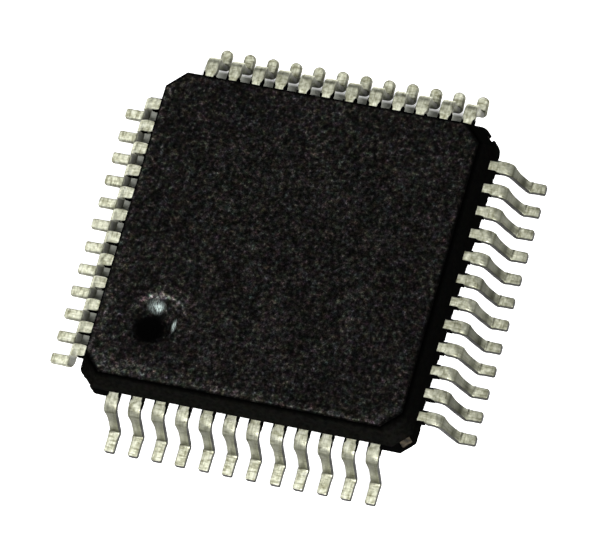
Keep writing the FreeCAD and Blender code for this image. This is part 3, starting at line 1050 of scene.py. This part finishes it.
@dataclass
class PartingFlash:
    """Thin compound left in the lead plane: webs between leads and round the corners, and slivers on the necks.

    A side's gap webs stand out by their first and last number at its ends. A corner web stands out by its three
    numbers past its first side, the corner cut and its second side. Plate levels are shares of a plate's
    thickness and of its outline. The ends and sizes of the slivers are ranges of chance.
    """

    compound: bpy.types.Material
    leads: GullWingLeads
    body: MouldedBody
    gap_webs: dict[Side, tuple[float, float]] = field(
        default_factory=lambda: {Side.RIGHT: (0.03, 0.15), Side.BACK: (0.04, 0.04)}
    )
    corner_webs: tuple[tuple[float, float, float], ...] = (
        (0.06, 0.16, 0.09),
        (0.13, 0.07, 0.04),
        (0.03, 0.0, 0.0),
        (0.0, 0.01, 0.07),
    )
    stub_wide: float = 0.27
    root: float = 0.13
    corner_root: float = 0.12
    overlap: float = 0.004
    torn_step: float = 0.035
    torn_spread: float = 0.0045
    plate_levels: tuple[tuple[float, float], ...] = ((0.0, 0.97), (0.24, 1.0), (0.8, 1.0), (1.0, 0.965))
    notch_reaches: tuple[float, ...] = (4.62, 4.669, 4.669, 4.669)
    notch_halves: tuple[float, ...] = (0.125, 0.075, 0.125, 0.125)
    notch_floors: tuple[float, ...] = (0.055, 0.0, 0.0, 0.0)
    lobe_rounds: tuple[float, ...] = (0.03, 0.11, 0.03, 0.05)
    sliver_ends: tuple[float, float] = (-0.05, 0.09)
    sliver_wide: float = 0.03
    sliver_spread: float = 0.003
    sliver_sizes: tuple[float, float] = (0.75, 1.2)
    sliver_taper: float = 0.006
    sliver_least: float = 0.02
    sliver_stations: int = 12

    def reach(self, side: Side) -> float:
        """Returns how far the parting edge of a side lies from the middle of the lead frame."""
        outward = [0.0, 1.0, 0.0, -1.0][side.value]
        return self.body.half + self.body.shift * outward

    def ragged(self, outline: np.ndarray, chance: np.random.Generator) -> np.ndarray:
        """Breaks an outline into short steps and moves each point a little, as torn compound is.

        Args:
            outline: The corners (u, s).
            chance: The source of the raggedness.

        Returns:
            The denser outline.
        """
        runs = []
        for a, b in zip(outline, np.roll(outline, -1, 0)):
            steps = max(1, int(np.hypot(*(b - a)) / self.torn_step))
            share = np.arange(steps)[:, None] / steps
            run = a * (1 - share) + b * share
            run[1:] += chance.normal(0, self.torn_spread, run[1:].shape)
            runs.append(run)
        return np.concatenate(runs)

    def plate(self, outline: np.ndarray, side: Side, thick: float) -> Part:
        """Makes a thin plate in the lead plane, with its edges drawn in at the top and the bottom.

        Args:
            outline: The plate's points (u, s) on its side.
            side: The side.
            thick: Its thickness, from the lead plane's underside up.

        Returns:
            Its points and faces.
        """
        low = self.leads.lead_top - self.leads.thick
        middle = outline.mean(0)
        rings = []
        for up, share in self.plate_levels:
            flat = middle + (outline - middle) * share
            rings.append(turned_to(np.column_stack([flat, np.full(len(flat), low + thick * up)]), side))
        return np.concatenate(rings), tube_faces(len(rings), len(outline))

    def gap_outlines(self, side: Side) -> list[np.ndarray]:
        """Works out the webs between the leads of a side.

        Args:
            side: The side.

        Returns:
            One outline a gap, or none where the side has no webs.
        """
        if side not in self.gap_webs:
            return []
        first, last = self.gap_webs[side]
        growth = (last - first) / (self.leads.count - 1)
        start = self.reach(side) - self.root
        inset = self.stub_wide / 2 - self.overlap
        outlines = []
        for gap, u in enumerate(self.leads.places()[:-1]):
            out = self.reach(side) + first + growth * gap
            left, right = u + inset, u + self.leads.pitch - inset
            outlines.append(np.array([(left, start), (right, start), (right, out + growth), (left, out)])[::-1])
        return outlines

    def corner_outline(self, corner: Side, slotted: bool) -> np.ndarray:
        """Works out the web round a corner.

        Args:
            corner: The corner's first side.
            slotted: Whether it has the slot that the trim tool leaves past the tie bar.

        Returns:
            The outline on that side.
        """
        first_out, cut_out, second_out = self.corner_webs[corner.value]
        first_reach = self.reach(corner)
        second_reach = self.reach(Side((corner.value + 1) % 4))
        start = self.leads.places()[-1] + self.stub_wide / 2
        first = first_reach + first_out
        second = second_reach + second_out
        cut = first_reach + second_reach - self.body.corner_cut + cut_out * math.sqrt(2)
        points = [(start, first_reach - self.corner_root), (start, first), (cut - first, first)]
        cut_line = cut / math.sqrt(2)
        notch = self.notch_reaches[corner.value]
        if slotted and cut_line > notch:
            for along, away in ((-1, cut_line), (-1, notch), (1, notch), (1, cut_line)):
                across = along * self.notch_halves[corner.value]
                points.append(((away + across) / math.sqrt(2), (away - across) / math.sqrt(2)))
        points += [(second, cut - second), (second, start), (second_reach - self.corner_root, start)]
        runs = [np.array([point]) for point in points]
        for lobe in (2, len(points) - 3):
            runs[lobe] = self.rounded(*np.array(points[lobe - 1 : lobe + 2]), self.lobe_rounds[corner.value])
        return np.concatenate(runs)[::-1]

    @staticmethod
    def rounded(before: np.ndarray, corner: np.ndarray, after: np.ndarray, cut: float) -> np.ndarray:
        """Rounds a corner of an outline with the curve a(1 - t)**2 + 2bt(1 - t) + ct**2 between two cuts.

        Args:
            before: The corner before it.
            corner: The corner that is rounded.
            after: The corner after it.
            cut: How far from it the curve starts and ends.

        Returns:
            The points that take the corner's place.
        """
        ends = [corner + (other - corner) * cut / np.hypot(*(other - corner)) for other in (before, after)]
        share = np.linspace(0, 1, 6)[:, None]
        return ends[0] * (1 - share) ** 2 + 2 * corner * share * (1 - share) + ends[1] * share**2

    def sliver(self, side: Side, u: float, hand: int, chance: np.random.Generator) -> Part:
        """Makes the sliver on one side of a neck: a thin strip carried along the lead's path to a ragged end.

        Its outer face lies at half the stub's width, plus what its own width differs by from the usual one. The
        width thins as sqrt(1 - share ** 4) to the end.

        Args:
            side: The lead's side.
            u: The lead's place.
            hand: 1 on the side of greater u, else -1.
            chance: The source of its length and raggedness.

        Returns:
            Its points and faces.
        """
        forming = self.leads.formings[side]
        path = self.leads.path(forming, 0.0)
        start = self.reach(side) - self.root
        end = self.reach(side) + forming.flash_out + float(chance.uniform(*self.sliver_ends))
        stations = np.linspace(0, 1, self.sliver_stations)
        first, last = np.interp([start, end], path["s"], path["travel"])
        travel = first + (last - first) * stations
        s, z, turn = (np.interp(travel, path["travel"], path[name]) for name in ("s", "z", "turn"))
        thin = np.sqrt(np.maximum(1 - stations**4, self.sliver_least))
        wide = (self.sliver_wide + chance.normal(0, self.sliver_spread, len(stations))) * thin
        wide = wide * float(chance.uniform(*self.sliver_sizes))
        inner = np.full(len(stations), u + hand * (forming.neck_wide / 2 - self.overlap))
        outer = u + hand * (self.stub_wide / 2 + wide - self.sliver_wide * thin)
        half = self.leads.thick / 2 - self.sliver_taper * stations
        ring = []
        for across, up in [(inner, -1), (outer, -1), (outer, 1), (inner, 1)][::hand]:
            ring.append(np.stack([across, s + up * half * np.sin(turn), z + up * half * np.cos(turn)], -1))
        points = turned_to(np.stack(ring, 1), side).reshape(-1, 3)
        return points, [face[::-1] for face in tube_faces(len(stations), len(ring))]

    def build(self) -> list[bpy.types.Object]:
        """Makes the flash of each side as one piece.

        Returns:
            The pieces.
        """
        chance = np.random.default_rng(SEED + 1)
        pieces = []
        for side in Side:
            plates = [(self.corner_outline(side, True), self.leads.thick)]
            if self.notch_floors[side.value]:
                plates.append((self.corner_outline(side, False), self.notch_floors[side.value]))
            plates += [(outline, self.leads.thick) for outline in self.gap_outlines(side)]
            parts = [self.plate(self.ragged(outline, chance), side, thick) for outline, thick in plates]
            for u in self.leads.places():
                parts += [self.sliver(side, float(u), hand, chance) for hand in (-1, 1)]
            faces, count = [], 0
            for points, part_faces in parts:
                faces += [[count + i for i in face] for face in turned_out(points, part_faces)]
                count += len(points)
            points = np.concatenate([part_points for part_points, _ in parts])
            marks = {mark: np.zeros(count) for mark in ("painted_light", "polish", "glint")}
            name = "seam_flash_" + side.name.lower()
            piece = make_piece(name, points, faces, [self.compound], None, marks, COMPOUND_SHARP)
            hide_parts("moulded_body")
            pieces.append(piece)
        return pieces


@dataclass
class InnerPieces:
    """The pieces inside the mould, which keep their CAD shapes and get their finishes."""

    pad: GrainedFinish = GrainedFinish("dull_copper_alloy", "#16120d", "#4f4636", 0.3, 0.6, 0.06)
    attach: GrainedFinish = GrainedFinish("silver_filled_epoxy", "#8d8c88", "#c9c7c0", 0.4, 0.5, 0.02)
    die: GrainedFinish = GrainedFinish("polished_silicon", "#3c4048", "#6a6f7a", 0.7, 0.16, 0.12)
    wires: GrainedFinish = GrainedFinish("drawn_gold_wire", "#d9a845", "#f1c96a", 1.0, 0.2, 0.02)

    def dress(self) -> dict[str, bpy.types.Material]:
        """Gives each inner CAD node its finish.

        Returns:
            The finish of each node.
        """
        finishes = {"die_pad": self.pad, "die_attach": self.attach, "silicon_die": self.die}
        finishes = {node: finish.material() for node, finish in finishes.items()}
        gold = self.wires.material()
        finishes.update({"bond_wires_" + side.name.lower(): gold for side in Side})
        for node, material in finishes.items():
            mesh = frame["nodes"][node].data
            mesh.materials.clear()
            mesh.materials.append(material)
        return finishes


@dataclass
class Studio:
    """A white table under soft panels, in a room whose walls are paler than its ceiling.

    Each panel is the direction in which it hangs, its side in metres and its brightness, where 1 is white.
    """

    floor_white: str = "#f7f7f7"
    # A greyer table colour in the cross under the chip: a painted shadow.
    floor_shadow_tone: str = "#cfd1c6"
    floor_half: float = 2.0
    ceiling: str = "#3c3e40"
    walls: str = "#a8a9aa"
    wall_share: float = 0.6
    glow: float = 1.0
    mirrored_glow: float = 0.5
    dim_half_mm: float = 3.52
    dim_middle_mm: float = 0.5
    arm_half_mm: float = 2.8
    arm_middle_mm: float = 0.3
    fade_mm: float = 0.15
    panel_away: float = 0.6
    panels: dict[str, tuple[tuple[float, float, float], float, float]] = field(
        default_factory=lambda: {
            "panel_back": ((-0.27, 0.31, 0.91), 0.38, 1.85),
            "panel_over": ((-0.26, -0.35, 0.90), 0.3, 0.8),
            "panel_front_right": ((0.43, -0.43, 0.79), 0.26, 21.0),
            "lamp_left": ((-0.786, 0.343, 0.514), 0.08, 9.0),
        }
    )

    def floor_material(self) -> bpy.types.Material:
        """Builds the table's white, with a painted shadow: its colour is greyer in a cross under the chip.

        The table glows where it is seen or mirrored, and not in a cross under the chip and its leads, so that it
        keeps the shadow there. The cross lies within a square, without the square's corners: it glows where the
        greater of x and y, measured from the square's middle, passes the square's half, or where the lesser of
        them, measured from the arms' middle, passes the arms' half.

        Returns:
            The material.
        """
        material, nodes = new_material("white_table")
        rays = nodes.add("ShaderNodeLightPath").outputs
        mirrored = nodes.operate("MAXIMUM", rays["Is Glossy Ray"], rays["Is Transmission Ray"])
        seen = nodes.operate("MULTIPLY", rays["Is Camera Ray"], self.glow)
        level = nodes.operate("MULTIPLY_ADD", mirrored, self.mirrored_glow, seen)
        axes = nodes.add("ShaderNodeSeparateXYZ", {"Vector": nodes.place()}).outputs
        ramps = []
        for middle, half, choice in (
            (self.dim_middle_mm, self.dim_half_mm, "MAXIMUM"),
            (self.arm_middle_mm, self.arm_half_mm, "MINIMUM"),
        ):
            sizes = []
            for axis, offset in (("X", middle), ("Y", -middle)):
                scaled = nodes.operate("MULTIPLY_ADD", axes[axis], 1 / MM, offset)
                sizes.append(nodes.operate("ABSOLUTE", scaled))
            ramps.append(nodes.remap(nodes.operate(choice, *sizes), (half, half + self.fade_mm, 0.0, 1.0)))
        outside = nodes.operate("MAXIMUM", *ramps)
        # Painted shadow: the table's colour is greyer inside the cross.
        white = nodes.mix(outside, self.floor_shadow_tone, self.floor_white)
        matt = nodes.add("ShaderNodeBsdfDiffuse", {"Color": white})
        strength = nodes.operate("MULTIPLY", level, outside)
        glow = nodes.add("ShaderNodeEmission", {"Color": (1.0, 1.0, 1.0, 1.0), "Strength": strength})
        nodes.end(nodes.add("ShaderNodeAddShader", {0: matt.outputs[0], 1: glow.outputs[0]}))
        return material

    def room(self) -> bpy.types.World:
        """Builds the room's light, a blend by height from the walls to the ceiling.

        Returns:
            The world.
        """
        world = bpy.data.worlds.new("room")
        nodes = Nodes.within(world)
        axes = nodes.add("ShaderNodeSeparateXYZ", {"Vector": nodes.place("Generated")})
        height = nodes.remap(axes.outputs["Z"], (0.0, self.wall_share, 0.0, 1.0))
        light = {"Color": nodes.mix(height, self.walls, self.ceiling), "Strength": 1.0}
        nodes.end(nodes.add("ShaderNodeBackground", light), "ShaderNodeOutputWorld")
        return world

    def floor(self) -> bpy.types.Object:
        """Makes the table under the feet.

        Returns:
            The table.
        """
        half = self.floor_half
        mesh = bpy.data.meshes.new("table")
        mesh.from_pydata([(-half, -half, 0), (half, -half, 0), (half, half, 0), (-half, half, 0)], [], [(0, 1, 2, 3)])
        mesh.materials.append(self.floor_material())
        table = bpy.data.objects.new("table", mesh)
        bpy.context.scene.collection.objects.link(table)
        return table

    def panel(self, name: str, towards: tuple[float, float, float], size: float, radiance: float) -> None:
        """Hangs a square soft panel that faces the chip.

        Args:
            name: The lamp's name.
            towards: The direction in which it hangs.
            size: Its side in metres.
            radiance: Its brightness, where 1 is white.
        """
        lamp = bpy.data.lights.new(name, "AREA")
        lamp.shape = "SQUARE"
        lamp.size = size
        lamp.energy = radiance * math.pi * size * size
        holder = bpy.data.objects.new(name, lamp)
        direction = np.array(towards) / np.linalg.norm(towards)
        holder.location = tuple(direction * self.panel_away)
        holder.rotation_euler = Vector(tuple(direction)).to_track_quat("Z", "Y").to_euler()
        holder.visible_camera = False
        bpy.context.scene.collection.objects.link(holder)

    def build(self) -> None:
        """Makes the table, the room's light and the panels."""
        self.floor()
        bpy.context.scene.world = self.room()
        for name, (towards, size, radiance) in self.panels.items():
            self.panel(name, towards, size, radiance)


@dataclass(frozen=True)
class PhotoCamera:
    """A long lens that looks down on the chip from its front right, turned about its own axis."""

    azimuth: float = 0.68159
    elevation: float = 1.13328
    roll: float = -0.44584
    away: float = 128.202
    across: float = 0.13544
    up: float = -0.33617
    look_height: float = 0.8
    focal_px: float = 6392.08
    sensor: float = 36.0
    near_clip: float = 0.005
    far_clip: float = 20.0

    def build(self) -> bpy.types.Object:
        """Makes the camera.

        The view direction d is (sin a cos e, -cos a cos e, sin e). The camera's right and up are the level right
        (cos a, sin a, 0) and d x right, turned by the roll. It stands at d * away + right * across + up * up.

        Returns:
            The camera.
        """
        a, e = self.azimuth, self.elevation
        back = np.array([math.sin(a) * math.cos(e), -math.cos(a) * math.cos(e), math.sin(e)])
        level = np.array([math.cos(a), math.sin(a), 0.0])
        over = np.cross(back, level)
        right = math.cos(self.roll) * level + math.sin(self.roll) * over
        above = -math.sin(self.roll) * level + math.cos(self.roll) * over
        eye = back * self.away + right * self.across + above * self.up + np.array([0, 0, self.look_height])

        lens = bpy.data.cameras.new("photo_camera")
        lens.sensor_width = self.sensor
        lens.lens = self.focal_px / IMAGE_WIDE * self.sensor
        lens.clip_start = self.near_clip
        lens.clip_end = self.far_clip
        holder = bpy.data.objects.new("photo_camera", lens)
        columns = np.column_stack([right, above, back, eye * MM])
        holder.matrix_world = Matrix(np.vstack([columns, [0, 0, 0, 1]]).tolist())
        bpy.context.scene.collection.objects.link(holder)
        bpy.context.scene.camera = holder
        return holder


def main() -> None:
    """Builds the studio, the camera and every piece."""
    logging.basicConfig(level=logging.INFO, format="%(message)s")
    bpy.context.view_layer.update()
    bpy.context.scene.view_settings.view_transform = "Standard"
    Studio().build()
    PhotoCamera().build()
    compound = compound_finishes()
    leads = GullWingLeads(MatteTin().material(), CutCopperAlloy().material())
    for piece in leads.build():
        LOG.info("lead %s: %d faces", piece.name, len(piece.data.polygons))
    body = MouldedBody(compound)
    LOG.info("body: %d faces", len(body.build().data.polygons))
    for piece in PartingFlash(compound[MouldZone.WALL.value], leads, body).build():
        LOG.info("flash %s: %d faces", piece.name, len(piece.data.polygons))
    for node, material in InnerPieces().dress().items():
        LOG.info("inner %s: %s", node, material.name)
    bpy.context.view_layer.update()


if __name__ == "__main__":
    main()
